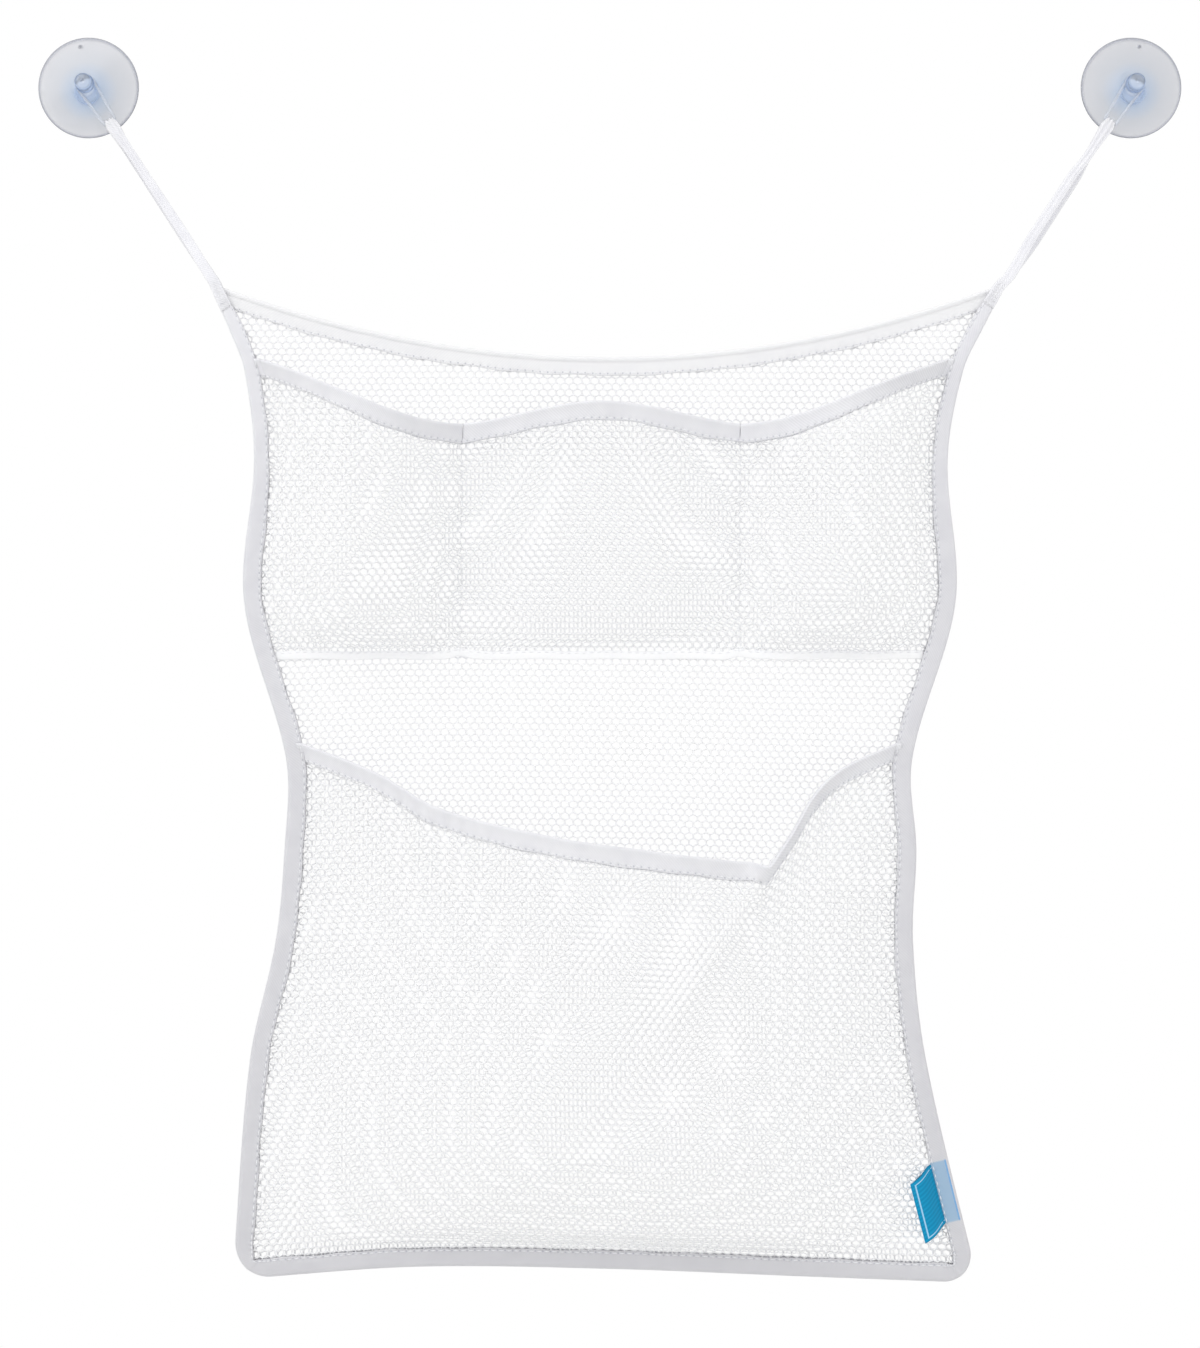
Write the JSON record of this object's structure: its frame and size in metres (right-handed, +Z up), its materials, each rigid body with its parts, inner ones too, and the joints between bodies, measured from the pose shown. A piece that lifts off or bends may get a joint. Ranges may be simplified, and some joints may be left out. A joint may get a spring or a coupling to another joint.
{
  "type": "bath toy organizer",
  "caption": "White net wall bag with a row of small pockets over a large pocket, tape-bound edges, and tape straps on clear hangers to suction cups. Straps, hangers, cups and the side tab move.",
  "frame": {"origin": "on the wall plane, midway between the centres of the two suction cups", "axes": "+X to the right seen from the front, +Y into the wall, +Z up"},
  "size_m": [0.5344, 0.0627, 0.5785],
  "materials": {
    "net": "white knitted polyester net with six-sided holes, matte",
    "tape": "white folded binding tape with a soft satin weave and a stitched edge",
    "woven_label": "plain blue woven ribbon with a thin pale border, no text",
    "clear_cord": "clear soft cord, glossy",
    "clear_cup": "clear soft plastic, glossy, slightly blue"
  },
  "bodies": {
    "bag": {"back_panel": "net", "small_pockets": "net", "large_pocket": "net", "left_binding": "tape", "right_binding": "tape", "foot_binding": "tape", "top_binding": "tape", "small_mouth_binding": "tape", "large_mouth_binding": "tape"},
    "left_strap": {"left_strap": "tape"},
    "left_hanger": {"left_hanger": "clear_cord"},
    "left_cup": {"left_suction_cup": "clear_cup"},
    "right_strap": {"right_strap": "tape"},
    "right_hanger": {"right_hanger": "clear_cord"},
    "right_cup": {"right_suction_cup": "clear_cup"},
    "tab": {"woven_tab": "woven_label"}
  },
  "joints": [
    {"name": "left_strap_swing", "type": "hinge", "parent": "bag", "child": "left_strap", "pos_m": [-0.184, -0.00325, -0.092], "axis": [0, 1, 0], "range_deg": [-45, 45]},
    {"name": "left_hanger_tilt", "type": "hinge", "parent": "left_strap", "child": "left_hanger", "pos_m": [-0.23227, -0.007, -0.01762], "axis": [0.8389, 0, 0.5443], "range_deg": [-25, 80]},
    {"name": "left_cup_spin", "type": "hinge", "parent": "left_hanger", "child": "left_cup", "pos_m": [-0.2437, 0, 0], "axis": [0, 1, 0], "continuous": true},
    {"name": "right_strap_swing", "type": "hinge", "parent": "bag", "child": "right_strap", "pos_m": [0.184, -0.00325, -0.092], "axis": [0, 1, 0], "range_deg": [-45, 45]},
    {"name": "right_hanger_tilt", "type": "hinge", "parent": "right_strap", "child": "right_hanger", "pos_m": [0.23227, -0.007, -0.01762], "axis": [0.8389, 0, -0.5443], "range_deg": [-25, 80]},
    {"name": "right_cup_spin", "type": "hinge", "parent": "right_hanger", "child": "right_cup", "pos_m": [0.2437, 0, 0], "axis": [0, 1, 0], "continuous": true},
    {"name": "tab_flap", "type": "hinge", "parent": "bag", "child": "tab", "pos_m": [0.15158, -0.0052, -0.516], "axis": [-0.2383, 0, 0.9712], "range_deg": [0, 100]}
  ]
}
